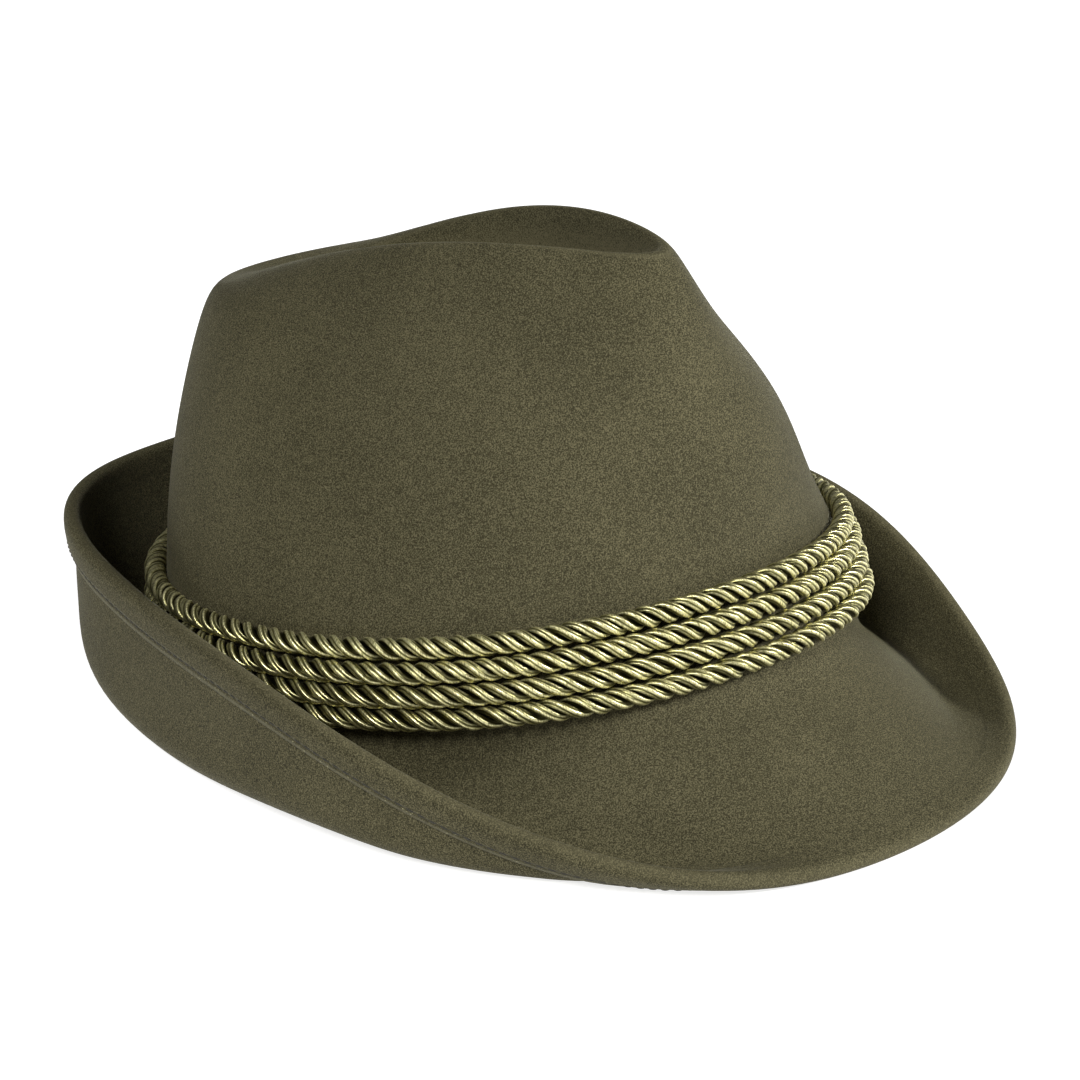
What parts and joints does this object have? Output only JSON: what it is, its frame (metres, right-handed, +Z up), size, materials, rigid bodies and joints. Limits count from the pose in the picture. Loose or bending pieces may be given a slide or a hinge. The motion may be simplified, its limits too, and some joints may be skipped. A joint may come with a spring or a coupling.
{
  "type": "tyrolean hat",
  "caption": "Felt hat with a creased crown, a brim that dips at the front and stands up behind, a stitched edge and twisted cords round the crown, worn on the head.",
  "frame": {"origin": "on the surface that the hat lies on, under the middle of the hat's box", "axes": "+Z up, -Y towards the front of the hat, where the brim dips, and +X towards the wearer's left"},
  "size_m": [0.223, 0.2752, 0.1345],
  "materials": {
    "felt": "matte olive-green wool felt",
    "cord_yarn": "satin khaki-green twisted cord"
  },
  "bodies": {
    "root": {"felt_body": "felt", "cord_1": "cord_yarn", "cord_2": "cord_yarn", "cord_3": "cord_yarn", "cord_4": "cord_yarn"}
  },
  "joints": []
}
